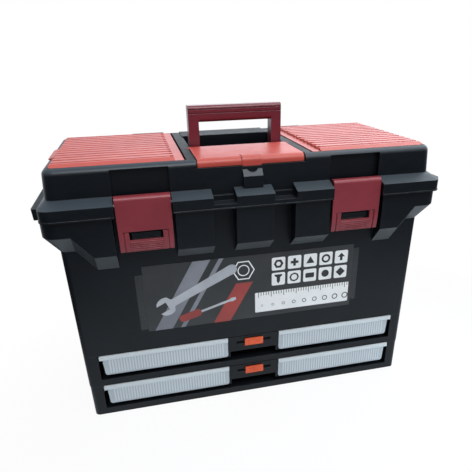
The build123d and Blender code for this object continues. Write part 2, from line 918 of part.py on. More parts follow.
    # Centre compartment with the seat, lip step, hinge groove and pivot holes of its cover
    seat_half = centre_half + centre_side_gap
    span_box(
        (cover_ledge - centre_half, centre_half - cover_ledge),
        (centre_front + centre_plate + body_gap + centre_wall, y_centre_pivot - cover_ledge),
        (z_compartment, z_deck + overrun),
        mode=Mode.SUBTRACT,
    )
    span_box(
        (-seat_half, seat_half),
        (y_lid_front - overrun, well_front),
        (z_centre_foot - body_gap, z_deck + overrun),
        mode=Mode.SUBTRACT,
    )
    span_box(
        (-seat_half, seat_half),
        (y_lid_front - overrun, centre_front + centre_plate + body_gap),
        (z_centre_top - centre_lip - body_gap, z_deck),
        mode=Mode.SUBTRACT,
    )
    span_box(
        (-centre_tab_half - body_gap, centre_tab_half + body_gap),
        (y_lid_front - overrun, centre_front + centre_plate + body_gap),
        (z_centre_top - centre_lip - centre_tab_drop - body_gap, z_deck),
        mode=Mode.SUBTRACT,
    )
    y_step = centre_front + centre_plate
    step_cut = centre_round - centre_plate + body_gap
    side_prism(
        (
            (y_step, z_centre_foot),
            (y_step, z_centre_foot - step_cut - body_gap),
            (y_step + step_cut + body_gap, z_centre_foot),
        ),
        (-seat_half, seat_half),
        mode=Mode.SUBTRACT,
    )
    span_box(
        (-seat_half, seat_half),
        (y_centre_pivot - cover_ledge, well_front),
        (z_deck - centre_hinge_depth, z_deck),
        mode=Mode.SUBTRACT,
    )
    round_bar(
        (-seat_half - cover_pivot_length, seat_half + cover_pivot_length),
        y_centre_pivot,
        z_centre_pivot,
        cover_pivot_radius + fit_gap,
        mode=Mode.SUBTRACT,
    )

    # Handle well with pivot bores, and the raised band behind it
    span_box(
        (-well_half, well_half),
        (well_front, well_rear),
        (z_well, z_deck + overrun),
        mode=Mode.SUBTRACT,
    )
    round_bar(
        (-well_half - handle_pivot_length, well_half + handle_pivot_length),
        y_handle_pivot,
        z_handle_pivot,
        handle_pivot_radius + fit_gap,
        mode=Mode.SUBTRACT,
    )
    span_box((-band_half, band_half), (well_rear, band_rear), (z_deck - wall / 2, z_deck + band_rise))
save(lid, "lid")

# Side covers: flush plate with a raised, grooved field, a notched step at the hinge and a finger tab
for side_name, side in sides:
    field = (side * (cover_inner + cover_step), side * cover_outer)
    with BuildPart() as cover:
        span_box(
            (side * cover_inner, side * cover_outer),
            (-cover_depth / 2, cover_depth / 2),
            (z_cover_foot, z_deck),
        )
        side_prism(
            (
                (-cover_depth / 2, z_deck),
                (cover_front_slope - cover_depth / 2, z_cover_top),
                (cover_depth / 2 - cover_front_slope, z_cover_top),
                (cover_depth / 2, z_deck),
            ),
            field,
        )
        top_edges = cover.edges().filter_by(Axis.Y).group_by(Axis.Z)[-1]
        chamfer(top_edges.sort_by(lambda edge: side * edge.center().X)[-1], length=cover_edge)
        extrude(cover_plan(side, 0, z_cover_foot), amount=cover_plate + cover_rise, mode=Mode.INTERSECT)
        tab_root = side * (cover_outer - cover_edge)
        tab_tip = side * (cover_outer + cover_tab_out)
        z_tab = z_cover_top - cover_groove_depth
        front_prism(
            (
                (tab_root, z_deck + body_gap),
                (tab_tip, z_deck + body_gap - cover_tab_droop),
                (tab_tip, z_tab - cover_tab_droop),
                (tab_root, z_tab),
            ),
            (cover_tab_place - cover_tab_half, cover_tab_place + cover_tab_half),
        )
        tab_corners = cover.edges().filter_by(Axis.Z).sort_by(lambda edge: side * edge.center().X)[-2:]
        fillet(tab_corners, radius=cover_tab_round)
        with Locations(((field[0] + field[1]) / 2, 0, z_cover_top)):
            with GridLocations(0, cover_groove_pitch, 1, cover_groove_count):
                groove_length = cover_outer - cover_inner
                Box(groove_length, cover_groove_width, 2 * cover_groove_depth, mode=Mode.SUBTRACT)
        with Locations((field[0], 0, z_cover_top)):
            with GridLocations(0, cover_groove_pitch, 1, cover_groove_count):
                Box(2 * cover_notch_length, cover_notch_width, 2 * cover_notch_depth, mode=Mode.SUBTRACT)
        with Locations((side * cover_pivot_x, 0, z_cover_pivot)):
            Cylinder(cover_pivot_radius, cover_depth + 2 * cover_pivot_length, rotation=(90, 0, 0))
    save(cover, f"cover_{side_name}")

# Centre cover: plate that rolls over into a front lip, with a finger tab and two pivots


def lip_profile(front, lip_foot, rear, top):
    """Profile of the centre cover in (y, z), with a rounded front edge."""
    with BuildSketch(Plane.YZ) as profile:
        Polygon(
            (rear, z_centre_foot),
            (rear, top),
            (front, top),
            (front, lip_foot),
            (centre_front + centre_plate, lip_foot),
            (centre_front + centre_plate, z_centre_foot),
        )
        corner = profile.vertices().sort_by_distance((front, top))[0]
        fillet(corner, radius=centre_round)
        corner = profile.vertices().sort_by_distance((centre_front + centre_plate, z_centre_foot))[0]
        fillet(corner, radius=centre_round - centre_plate)
    return profile.sketch


with BuildPart() as cover_centre:
    extrude(
        lip_profile(centre_front, z_centre_top - centre_lip, centre_rear, z_centre_top),
        amount=centre_half,
        both=True,
    )
    extrude(
        lip_profile(
            centre_front - centre_tab_out,
            z_centre_top - centre_lip - centre_tab_drop,
            centre_front + centre_tab_length,
            z_centre_top + centre_tab_rise,
        ),
        amount=centre_tab_half,
        both=True,
    )
    fillet(cover_centre.edges().filter_by(Axis.Y).group_by(Axis.Z)[0], radius=centre_tab_round)
    round_bar(
        (body_gap - seat_half - cover_pivot_length, seat_half + cover_pivot_length - body_gap),
        y_centre_pivot,
        z_centre_pivot,
        cover_pivot_radius,
    )
save(cover_centre, "cover_centre")

# Handle: square arch with two grooves along its bar and a round pivot on each leg
z_handle_top = z_deck + handle_top
z_handle_foot = z_handle_pivot - handle_depth / 2
z_grip = z_handle_top - handle_bar
grip_range = (z_grip - body_gap, z_grip + body_gap)
with BuildPart() as handle:
    front_prism(
        (
            (-handle_half, z_handle_foot),
            (-handle_half, z_handle_top),
            (handle_half, z_handle_top),
            (handle_half, z_handle_foot),
            (handle_half - handle_leg, z_handle_foot),
            (handle_half - handle_leg, z_grip),
            (handle_leg - handle_half, z_grip),
            (handle_leg - handle_half, z_handle_foot),
        ),
        (handle_front, handle_front + handle_depth),
    )
    fillet(handle.edges().filter_by(Axis.X).group_by(Axis.Z)[0], radius=handle_foot_round)
    fillet(handle.edges().filter_by(Axis.X).group_by(Axis.Z)[-1], radius=handle_edge)
    grip_edges = handle.edges().filter_by(Axis.X).filter_by_position(Axis.Z, *grip_range)
    fillet(grip_edges, radius=handle_grip_round)
    for index in (1, 2):
        z_groove = z_handle_top - index * handle_groove_pitch
        for y in (handle_front, handle_front + handle_depth):
            span_box(
                (-handle_half - overrun, handle_half + overrun),
                (y - handle_groove, y + handle_groove),
                (z_groove - handle_groove / 2, z_groove + handle_groove / 2),
                mode=Mode.SUBTRACT,
            )
    for _, side in sides:
        round_bar(
            (side * (handle_half - handle_leg / 2), side * (well_half + handle_pivot_length - body_gap)),
            y_handle_pivot,
            z_handle_pivot,
            handle_pivot_radius,
        )
save(handle, "handle")

# Latches: plate with a tucked foot, hinge cap, window for the catch nose, tongue slits and grip ribs


def tuck_at(z):
    """How far the latch's foot curves in at a height."""
    reach_share = max(0, latch_tuck_top - z) / (latch_tuck_top - latch_foot)
    return latch_tuck * reach_share**2


latch_back = latch_front + latch_plate
slit_rear = latch_front + slit_depth
slit_end = slit_rear + latch_tuck
latch_cap_rear = latch_front + latch_cap_depth
for side_name, side in sides:
    latch_span = (side * latch_inner, side * latch_outer)
    window_span = (side * (latch_inner + window_side), side * (latch_outer - window_side))
    with BuildPart() as latch:
        with BuildSketch(Plane.YZ.offset(min(latch_span))):
            with BuildLine():
                back = Line((latch_back, latch_cap_foot), (latch_back, latch_tuck_top))
                back_foot = TangentArc(back @ 1, (latch_back + latch_tuck, latch_foot), tangent=(0, -1))
                foot = Line(back_foot @ 1, (latch_front + latch_tuck, latch_foot))
                TangentArc((latch_front, latch_tuck_top), foot @ 1, tangent=(0, -1))
                front = Line((latch_front, latch_tuck_top), (latch_front, latch_top - latch_cap_round))
                cap_round = TangentArc(front @ 1, (latch_front + latch_cap_round, latch_top), tangent=(0, 1))
                cap_top = Line(cap_round @ 1, (latch_cap_rear, latch_top))
                cap_back = Line(cap_top @ 1, (latch_cap_rear, latch_cap_foot))
                Line(cap_back @ 1, back @ 0)
            make_face()
        extrude(amount=latch_outer - latch_inner)
        round_bar(latch_span, latch_pin_y, latch_pin_z, latch_knuckle)
        round_bar(latch_span, latch_pin_y, latch_pin_z, latch_pin_radius + fit_gap, mode=Mode.SUBTRACT)
        span_box(
            window_span,
            (latch_front - overrun, latch_back + latch_tuck + overrun),
            (window_bottom, window_top),
            mode=Mode.SUBTRACT,
        )
        for edge, inward in ((latch_inner, 1), (latch_outer, -1)):
            slit = side * (edge + inward * slit_side)
            with BuildSketch(Plane.YZ.offset(min(slit, slit + side * inward * slit_width))):
                with BuildLine():
                    slit_back = Line((slit_rear, window_top), (slit_rear, latch_tuck_top))
                    slit_foot = TangentArc(slit_back @ 1, (slit_end, latch_foot), tangent=(0, -1))
                    Polyline(
                        slit_foot @ 1,
                        (slit_end, latch_foot - overrun),
                        (latch_front - overrun, latch_foot - overrun),
                        (latch_front - overrun, window_top),
                        slit_back @ 0,
                    )
                make_face()
            extrude(amount=slit_width, mode=Mode.SUBTRACT)
            span_box(
                (slit, side * (edge + inward * window_side)),
                (latch_front - overrun, slit_rear),
                (window_top - slit_width, window_top),
                mode=Mode.SUBTRACT,
            )
        for index in range(grip_rib_count):
            z_rib = latch_foot + (index + 1) * grip_rib_pitch
            y_rib = latch_front + tuck_at(z_rib)
            span_box(
                window_span,
                (y_rib - grip_rib_out, y_rib + latch_plate / 2),
                (z_rib - grip_rib_height / 2, z_rib + grip_rib_height / 2),
            )
    save(latch, f"latch_{side_name}")

# Drawers: a frame with a front plate, finger pull, beam and wings, two ribbed bins and a slide lock
y_plate_back = y_drawer_front + plate_thickness
y_beam_front = y_plate_back + pull_depth
lock_middle = (lock_bottom + lock_top) / 2
bin_body_outer = bin_outer - bin_rim_out
for storey, z_foot in storeys:
    z_over_lip = z_foot + lip_height + body_gap
    with BuildPart() as drawer_frame:
        span_box(
            (-plate_half, plate_half),
            (y_drawer_front, y_plate_back),
            (z_foot + plate_bottom, z_foot + drawer_top),
        )
        span_box(
            (-lock_slot_half, lock_slot_half),
            (y_drawer_front - overrun, y_plate_back + overrun),
            (z_foot + lock_middle - lock_slot_height / 2, z_foot + lock_middle + lock_slot_height / 2),
            mode=Mode.SUBTRACT,
        )
        span_box(
            (-plate_half, plate_half),
            (y_beam_front, y_beam_front + beam_wall),
            (z_over_lip, z_foot + beam_top),
        )
        span_box(
            (-plate_half, plate_half),
            (y_beam_front, drawer_rear),
            (z_foot + beam_top - beam_wall, z_foot + beam_top),
        )
        for _, side in sides:
            cheek = (side * (plate_half - beam_wall), side * plate_half)
            z_wing = z_foot + bin_bottom - wing_thickness
            span_box(cheek, (y_plate_back, drawer_rear), (z_wing, z_foot + beam_top))
            span_box(cheek, (y_beam_front, drawer_rear), (z_over_lip, z_foot + beam_top))
            span_box(
                cheek,
                (drawer_rear - runner_foot_length, drawer_rear),
                (z_foot + wall + body_gap, z_foot + beam_top),
            )
            span_box(
                (side * plate_half, side * (plate_half + wing_reach)),
                (y_plate_back, drawer_rear),
                (z_wing, z_foot + bin_bottom),
            )
    save(drawer_frame, f"drawer_frame_{storey}")

    for side_name, side in sides:
        z_rim_foot = z_foot + drawer_top - bin_rim_height
        with BuildPart() as bin_part:
            front_prism(
                (
                    (side * bin_inner, z_foot + bin_bottom),
                    (side * (bin_body_outer - bin_draft), z_foot + bin_bottom),
                    (side * bin_body_outer, z_foot + drawer_top),
                    (side * bin_inner, z_foot + drawer_top),
                ),
                (y_front, drawer_rear),
            )
            fillet(bin_part.edges().filter_by(Axis.Y).group_by(Axis.Z)[0], radius=bin_corner)
            span_box(
                (side * bin_inner, side * bin_outer),
                (y_front - bin_rim_front, drawer_rear),
                (z_rim_foot, z_foot + drawer_top),
            )
            rib_foot = z_foot + bin_bottom + bin_rib_foot
            rib_middle = side * (bin_inner + bin_body_outer - bin_draft) / 2
            with Locations((rib_middle, y_front, (rib_foot + z_rim_foot) / 2)):
                with GridLocations(bin_rib_pitch, 0, bin_rib_count, 1):
                    Box(bin_rib_width, 2 * bin_rib_out, z_rim_foot - rib_foot)
            front_prism(
                (
                    (side * (bin_inner + bin_wall), z_foot + bin_bottom + bin_wall),
                    (side * (bin_body_outer - bin_draft - bin_wall), z_foot + bin_bottom + bin_wall),
                    (side * (bin_body_outer - bin_wall), z_foot + drawer_top + overrun),
                    (side * (bin_inner + bin_wall), z_foot + drawer_top + overrun),
                ),
                (y_front + bin_wall, drawer_rear - bin_wall),
                mode=Mode.SUBTRACT,
            )
        save(bin_part, f"bin_{storey}_{side_name}")

    with BuildPart() as slide_lock:
        y_button = y_drawer_front - body_gap
        y_back_front = y_plate_back + body_gap
        y_keeper_rear = y_front + keeper_front + keeper_thickness
        shank_half_height = lock_slot_height / 2 - body_gap
        span_box(
            (-lock_half, lock_half),
            (y_button - lock_out, y_button),
            (z_foot + lock_bottom, z_foot + lock_top),
        )
        for index in range(lock_grip_count):
            x_grip = (index - (lock_grip_count - 1) / 2) * lock_grip_pitch
            span_box(
                (x_grip - lock_grip_width / 2, x_grip + lock_grip_width / 2),
                (y_button - lock_out - overrun, y_button - lock_out + lock_grip_depth),
                (z_foot + lock_bottom + lock_grip_pitch / 2, z_foot + lock_top - lock_grip_pitch / 2),
                mode=Mode.SUBTRACT,
            )
        span_box(
            (-lock_shank_half, lock_shank_half),
            (y_button - lock_out / 2, y_back_front + lock_back_thickness),
            (z_foot + lock_middle - shank_half_height, z_foot + lock_middle + shank_half_height),
        )
        span_box(
            (-lock_back_half, lock_back_half),
            (y_back_front, y_back_front + lock_back_thickness),
            (z_foot + lock_middle - lock_back_height / 2, z_foot + lock_middle + lock_back_height / 2),
        )
        span_box(
            (-lock_tongue_half, lock_tongue_half),
            (y_back_front, y_keeper_rear + body_gap + lock_tongue_thickness),
            (z_foot + lock_middle - lock_back_height / 2, z_foot + lock_middle + lock_back_height / 2),
        )
        span_box(
            (-lock_tongue_half, lock_tongue_half),
            (y_keeper_rear + body_gap, y_keeper_rear + body_gap + lock_tongue_thickness),
            (z_foot + lock_middle, z_foot + drawer_top - body_gap),
        )
    save(slide_lock, f"slide_lock_{storey}")
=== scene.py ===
"""Look of the plastic tool box: moulded plastics, printed label, floor, light and camera."""
import json
import math

import bpy
from mathutils import Matrix, Vector


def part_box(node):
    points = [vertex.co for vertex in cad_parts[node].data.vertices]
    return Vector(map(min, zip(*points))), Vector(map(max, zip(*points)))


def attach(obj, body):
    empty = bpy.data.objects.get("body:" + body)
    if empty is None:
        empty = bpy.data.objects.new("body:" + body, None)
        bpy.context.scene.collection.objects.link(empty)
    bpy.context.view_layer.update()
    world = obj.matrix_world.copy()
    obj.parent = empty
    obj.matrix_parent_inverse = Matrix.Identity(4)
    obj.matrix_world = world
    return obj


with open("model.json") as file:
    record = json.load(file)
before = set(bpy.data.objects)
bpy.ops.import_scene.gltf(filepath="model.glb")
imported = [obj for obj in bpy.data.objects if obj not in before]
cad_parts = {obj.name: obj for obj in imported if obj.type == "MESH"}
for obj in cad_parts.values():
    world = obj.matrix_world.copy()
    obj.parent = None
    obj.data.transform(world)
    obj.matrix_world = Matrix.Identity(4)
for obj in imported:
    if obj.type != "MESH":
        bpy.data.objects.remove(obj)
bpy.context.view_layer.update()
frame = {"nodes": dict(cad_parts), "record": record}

nodes = frame["nodes"]
scene = bpy.context.scene
mm = 0.001

# Camera at the photograph's place: lens in pixels, angles in degrees, place in metres
image_size = 472
focal_px = 467.71
axis_px = (247.25, 275.70)
sensor_width = 36.0
camera_place = (-0.14669, -0.72463, 0.51331)
camera_turn = 12.80856
camera_dip = 25.74916
camera_roll = -1.04300
nearest = 0.01


def turned(degrees, axis):
    """Rotation about one axis."""
    return Matrix.Rotation(math.radians(degrees), 4, axis)


def add_camera():
    """Camera that looks along +Y, turned to the right, dipped and rolled, with the photograph's framing."""
    data = bpy.data.cameras.new("camera")
    data.sensor_width = sensor_width
    data.lens = focal_px / image_size * sensor_width
    data.shift_x = (image_size / 2 - axis_px[0]) / image_size
    data.shift_y = (axis_px[1] - image_size / 2) / image_size
    data.clip_start = nearest
    camera = bpy.data.objects.new("camera", data)
    facing = turned(-camera_turn, "Z") @ turned(90 - camera_dip, "X") @ turned(camera_roll, "Z")
    camera.matrix_world = Matrix.Translation(camera_place) @ facing
    scene.collection.objects.link(camera)
    scene.camera = camera


add_camera()

# Node helpers, with the places of the colours among the Mix node's sockets
mix_a, mix_b, mix_result = 6, 7, 2


def new_material(name):
    """An empty material with a Principled shader."""
    material = bpy.data.materials.new(name)
    material.use_nodes = True
    tree = material.node_tree
    tree.nodes.clear()
    output = tree.nodes.new("ShaderNodeOutputMaterial")
    shader = tree.nodes.new("ShaderNodeBsdfPrincipled")
    tree.links.new(shader.outputs["BSDF"], output.inputs["Surface"])
    return material, tree, shader


def noise(tree, vector, scale, detail, roughness=0.55):
    """Noise value at a scale per metre."""
    node = tree.nodes.new("ShaderNodeTexNoise")
    node.inputs["Scale"].default_value = scale
    node.inputs["Detail"].default_value = detail
    node.inputs["Roughness"].default_value = roughness
    tree.links.new(vector, node.inputs["Vector"])
    return node.outputs["Fac"]


def stretch(tree, vector, scale):
    """Coordinates stretched by a factor along each axis."""
    node = tree.nodes.new("ShaderNodeMapping")
    node.inputs["Scale"].default_value = scale
    tree.links.new(vector, node.inputs["Vector"])
    return node.outputs["Vector"]


def along(tree, vector, axis):
    """One coordinate of a vector."""
    node = tree.nodes.new("ShaderNodeSeparateXYZ")
    tree.links.new(vector, node.inputs["Vector"])
    return node.outputs[axis]


def remap(tree, value, span, to=(0.0, 1.0)):
    """Value from one range into another, clamped."""
    node = tree.nodes.new("ShaderNodeMapRange")
    for name, number in zip(("From Min", "From Max", "To Min", "To Max"), (*span, *to)):
        node.inputs[name].default_value = number
    tree.links.new(value, node.inputs["Value"])
    return node.outputs["Result"]


def maths(tree, operation, a, b):
    """Math node on two values or numbers."""
    node = tree.nodes.new("ShaderNodeMath")
    node.operation = operation
    for socket, value in zip(node.inputs, (a, b)):
        if isinstance(value, (int, float)):
            socket.default_value = value
        else:
            tree.links.new(value, socket)
    return node.outputs["Value"]


def mix(tree, factor, a, b):
    """Colour between two colours or colour sockets."""
    node = tree.nodes.new("ShaderNodeMix")
    node.data_type = "RGBA"
    tree.links.new(factor, node.inputs["Factor"])
    for socket, value in ((node.inputs[mix_a], a), (node.inputs[mix_b], b)):
        if isinstance(value, tuple):
            socket.default_value = (*value, 1)
        else:
            tree.links.new(value, socket)
    return node.outputs[mix_result]


def edge_round(tree, radius):
    """Normal that rounds hard edges, and how near a point is to an edge."""
    bevel = tree.nodes.new("ShaderNodeBevel")
    bevel.samples = 6
    bevel.inputs["Radius"].default_value = radius
    geometry = tree.nodes.new("ShaderNodeNewGeometry")
    dot = tree.nodes.new("ShaderNodeVectorMath")
    dot.operation = "DOT_PRODUCT"
    tree.links.new(bevel.outputs["Normal"], dot.inputs[0])
    tree.links.new(geometry.outputs["Normal"], dot.inputs[1])
    return bevel.outputs["Normal"], remap(tree, dot.outputs["Value"], (0.99, 0.80))


def bump(tree, height, strength, distance, normal):
    """Bumped normal on top of another one."""
    node = tree.nodes.new("ShaderNodeBump")
    node.inputs["Strength"].default_value = strength
    node.inputs["Distance"].default_value = distance
    tree.links.new(height, node.inputs["Height"])
    tree.links.new(normal, node.inputs["Normal"])
    return node.outputs["Normal"]


# Materials
def plastic(
    name,
    dark,
    light,
    edge,
    roughness,
    wear_and_highlight=0.35,
    edge_radius=0.9 * mm,
    grain_scale=1500.0,
    grain_strength=0.12,
    painted_facet_light=None,
    painted_groove_shade=None,
    settings=None,
):
    """Moulded plastic: cloudy tone, fine grain, paler edges that are partly rubbed wear and partly a
    painted highlight, and faint handling marks.

    Slanted facets can be painted paler, a painted reflection, with one tone for those that face down
    (painted floor reflection) and one for those that face up (painted sky sheen).
    What lies behind a front face can get a darker tone of its own, painted shade as in the grooves between
    ribs.
    Settings are the shader's sockets that are the same all over.
    """
    material, tree, shader = new_material(name)
    places = tree.nodes.new("ShaderNodeTexCoord")
    where = places.outputs["Object"]
    cloud = noise(tree, where, scale=14.0, detail=5.0, roughness=0.6)
    tone = mix(tree, remap(tree, cloud, (0.35, 0.65)), dark, light)
    marks = noise(tree, stretch(tree, where, (1.0, 1.0, 9.0)), scale=60.0, detail=6.0, roughness=0.7)
    rough = remap(tree, marks, (0.35, 0.7), roughness)
    # Painted reflection: slanted faces get paler tones, one for faces turned down and one for faces turned
    # up
    if painted_facet_light:
        upward = along(tree, places.outputs["Normal"], "Z")
        lean = maths(tree, "ABSOLUTE", upward, 0.0)
        leans = remap(tree, lean, (0.15, 0.6))
        not_level = remap(tree, lean, (0.98, 0.998), to=(1.0, 0.1))
        painted_slant_mask = maths(tree, "MULTIPLY", leans, not_level)
        faces_up = remap(tree, upward, (-0.05, 0.05))
        tone = mix(tree, painted_slant_mask, tone, mix(tree, faces_up, *painted_facet_light))
        rough = maths(tree, "ADD", rough, remap(tree, lean, (0.85, 0.97), to=(0.0, 0.2)))
    # Painted shade: faces behind the front, down in the grooves, get a darker tone
    if painted_groove_shade:
        span, groove_shade_tone = painted_groove_shade
        tone = mix(tree, remap(tree, along(tree, where, "Y"), span), tone, groove_shade_tone)
    normal, near_edge = edge_round(tree, edge_radius)
    # Paler edges: partly rubbed wear, partly a painted highlight along the rims
    rubbed_and_highlit = remap(tree, noise(tree, where, scale=90.0, detail=4.0), (0.42, 0.62), to=(0.0, wear_and_highlight))
    tone = mix(tree, maths(tree, "MULTIPLY", near_edge, rubbed_and_highlit), tone, edge)
    tree.links.new(tone, shader.inputs["Base Color"])
    tree.links.new(rough, shader.inputs["Roughness"])
    grain = noise(tree, where, grain_scale, detail=2.0, roughness=0.5)
    grained = bump(tree, grain, strength=grain_strength, distance=0.15 * mm, normal=normal)
    tree.links.new(grained, shader.inputs["Normal"])
    for socket, value in (settings or {}).items():
        shader.inputs[socket].default_value = value
    return material


def steel(name, dark, light, roughness):
    """Plated steel with drawn streaks along X."""
    material, tree, shader = new_material(name)
    where = tree.nodes.new("ShaderNodeTexCoord").outputs["Object"]
    streaks = noise(tree, stretch(tree, where, (1.0, 14.0, 14.0)), scale=120.0, detail=5.0, roughness=0.65)
    streak_span = (0.3, 0.7)
    tree.links.new(mix(tree, remap(tree, streaks, streak_span), dark, light), shader.inputs["Base Color"])
    tree.links.new(remap(tree, streaks, streak_span, roughness), shader.inputs["Roughness"])
    normal, _ = edge_round(tree, radius=0.3 * mm)
    streaked = bump(tree, streaks, strength=0.1, distance=0.05 * mm, normal=normal)
    tree.links.new(streaked, shader.inputs["Normal"])
    shader.inputs["Metallic"].default_value = 1.0
    return material


def card(name, dark, light, mottle_scale=30.0, roughness=(0.30, 0.42)):
    """Coated print on card: even ink with a slight mottle and a soft gloss."""
    material, tree, shader = new_material(name)
    where = tree.nodes.new("ShaderNodeTexCoord").outputs["Object"]
    mottle = noise(tree, where, mottle_scale, detail=4.0, roughness=0.6)
    tree.links.new(mix(tree, remap(tree, mottle, (0.35, 0.65)), dark, light), shader.inputs["Base Color"])
    gloss = noise(tree, where, scale=220.0, detail=4.0)
    tree.links.new(remap(tree, gloss, (0.3, 0.7), roughness), shader.inputs["Roughness"])
    normal, _ = edge_round(tree, radius=0.15 * mm)
    fibres = noise(tree, where, scale=700.0, detail=2.0)
    fibrous = bump(tree, fibres, strength=0.06, distance=0.05 * mm, normal=normal)
    tree.links.new(fibrous, shader.inputs["Normal"])
    return material


# The bins' front walls are ribbed, and between these depths the tone turns into the painted shade of the
# grooves
bin_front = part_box("bin_upper_left")[0][1]
groove_start = bin_front + 1.5 * mm
groove_floor = bin_front + 2.1 * mm

looks = {
    "black_plastic": plastic(
        "black_plastic",
        dark=(0.0022, 0.0034, 0.0052),
        light=(0.0034, 0.0050, 0.0074),
        edge=(0.062, 0.070, 0.080),
        roughness=(0.32, 0.42),
        wear_and_highlight=0.6,
        # Painted reflection on slanted facets: pale grey for the floor below, bluish for the sky above
        painted_facet_light=((0.080, 0.088, 0.092), (0.040, 0.053, 0.067)),
        settings={"Specular IOR Level": 0.275},
    ),
    "red_cover": plastic(
        "red_cover",
        dark=(0.475, 0.061, 0.045),
        light=(0.545, 0.078, 0.058),
        edge=(0.66, 0.16, 0.14),
        roughness=(0.37, 0.45),
        wear_and_highlight=0.2,
    ),
    "red_latch": plastic(
        "red_latch",
        dark=(0.225, 0.025, 0.036),
        light=(0.27, 0.032, 0.045),
        edge=(0.50, 0.14, 0.16),
        roughness=(0.38, 0.42),
        wear_and_highlight=0.8,
    ),
    "maroon_plastic": plastic(
        "maroon_plastic",
        dark=(0.138, 0.015, 0.027),
        light=(0.175, 0.020, 0.035),
        edge=(0.32, 0.08, 0.10),
        roughness=(0.275, 0.29),
    ),
    "orange_lock": plastic(
        "orange_lock",
        dark=(0.72, 0.085, 0.02),
        light=(0.82, 0.115, 0.03),
        edge=(0.9, 0.22, 0.1),
        roughness=(0.30, 0.44),
        edge_radius=0.6 * mm,
    ),
    "clear_bin": plastic(
        "clear_bin",
        dark=(0.78, 0.84, 0.88),
        light=(0.82, 0.88, 0.92),
        edge=(0.90, 0.94, 0.96),
        roughness=(0.28, 0.33),
        wear_and_highlight=0.0,
        edge_radius=0.3 * mm,
        grain_scale=900.0,
        grain_strength=0.03,
        # Painted shade in the grooves between the ribs
        painted_groove_shade=((groove_start, groove_floor), (0.57, 0.64, 0.69)),
        settings={"Transmission Weight": 0.18, "IOR": 1.49},
    ),
    "zinc_steel": steel(
        "zinc_steel",
        dark=(0.24, 0.24, 0.23),
        light=(0.36, 0.36, 0.35),
        roughness=(0.42, 0.58),
    ),
    "printed_card": card(
        "printed_card",
        dark=(0.017, 0.018, 0.020),
        light=(0.030, 0.031, 0.033),
        mottle_scale=14.0,
    ),
}
for part in frame["record"]["subparts"]:
    slots = nodes[part["node"]].data.materials
    slots.clear()
    slots.append(looks[part["material_slot"]])

# Printed label: flat inks on the card, in a layout of tools and plain shapes.
# Sizes and places are in millimetres, u to the right of the card's middle and w up from its lower edge.
card_low, card_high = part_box("label_card")
card_face = card_low[1]
card_middle = (card_low[0] + card_high[0]) / 2
card_half = (card_high[0] - card_low[0]) / 2 / mm
card_height = (card_high[2] - card_low[2]) / mm
ink_layer = 0.07 * mm


def arc(u, w, radius, first, last, count):
    """Points along an arc between two angles in degrees, both ends included."""
    angles = [math.radians(first + (last - first) * i / (count - 1)) for i in range(count)]
    return [(u + radius * math.cos(a), w + radius * math.sin(a)) for a in angles]


def rounded(u0, w0, u1, w1, corner):
    """Outline of a rectangle with round corners."""
    left, low, right, high = u0 + corner, w0 + corner, u1 - corner, w1 - corner
    points = []
    for u, w, start in ((right, low, -90), (right, high, 0), (left, high, 90), (left, low, 180)):
        points += arc(u, w, corner, start, start + 90, count=6)
    return points


def regular(count, u, w, radius, turn=0.0):
    """Regular polygon; many corners make a circle."""
    angles = [turn + 2 * math.pi * i / count for i in range(count)]
    return [(u + radius * math.cos(a), w + radius * math.sin(a)) for a in angles]


def ring(count, u, w, radius, hole):
    """Outer and inner outline of a regular ring."""
    return regular(count, u, w, radius), regular(count, u, w, hole)


def placed(points, u, w, degrees=0.0):
    """Outline turned and moved on the card."""
    c = math.cos(math.radians(degrees))
    s = math.sin(math.radians(degrees))
    return [(u + c * x - s * y, w + s * x + c * y) for x, y in points]


def spanner(length, half, head, jaw):
    """Open ended spanner along +u: half its shank's width, its head's radius and half its jaw's width."""
    neck = -0.2 * head
    neck_half = 1.15 * half
    head_middle = -0.9 * head
    jaw_mouth = -1.75 * head
    jaw_root = -0.75 * head
    end_radius = 1.3 * half
    points = [(0, half), (neck, neck_half)]
    points += arc(head_middle, 0, head, 60, 135, count=6)
    points += [(jaw_mouth, jaw), (jaw_root, jaw), (jaw_root, -jaw), (jaw_mouth, -jaw)]
    points += arc(head_middle, 0, head, -135, -60, count=6)
    points += [(neck, -neck_half), (0, -half)]
    points += arc(length, 0, end_radius, -90, 90, count=13)
    return points


def ink(name, outlines, layer, material, rings=()):
    """One print of flat shapes, raised by a hair for each layer."""
    verts, faces = [], []
    front = card_face - ink_layer * layer

    def add_loop(points, y):
        """Places of an outline's corners among the vertices."""
        first = len(verts)
        verts.extend((card_middle + u * mm, y, card_low[2] + w * mm) for u, w in points)
        return list(range(first, first + len(points)))

    def add_band(loop, other):
        """Faces between two loops with as many corners."""
        for i in range(len(loop)):
            j = (i + 1) % len(loop)
            faces.append((loop[i], other[i], other[j], loop[j]))

    for outline in outlines:
        near = add_loop(outline, front)
        faces.append(near)
        add_band(near, add_loop(outline, card_face))
    for outer, inner in rings:
        near, hole = add_loop(outer, front), add_loop(inner, front)
        add_band(hole, near)
        add_band(near, add_loop(outer, card_face))
        add_band(add_loop(inner, card_face), hole)
    mesh = bpy.data.meshes.new(name)
    mesh.from_pydata(verts, [], faces)
    mesh.materials.append(material)
    piece = bpy.data.objects.new(name, mesh)
    scene.collection.objects.link(piece)
    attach(piece, "case")


# Clear film that shows past both ends of the card
film = card(
    "clear_film",
    dark=(0.011, 0.012, 0.014),
    light=(0.016, 0.018, 0.020),
    mottle_scale=20.0,
    roughness=(0.16, 0.24),
)
film_round = 1.0
film_left_out, film_left_low, film_left_high = 11, 4, card_height - 12
film_right_out, film_right_low, film_right_high = 9, 10, card_height - 6
film_ends = [
    rounded(-card_half - film_left_out, film_left_low, -card_half, film_left_high, film_round),
    rounded(card_half, film_right_low, card_half + film_right_out, film_right_high, film_round),
]
ink("label_film", film_ends, layer=0.2, material=film)

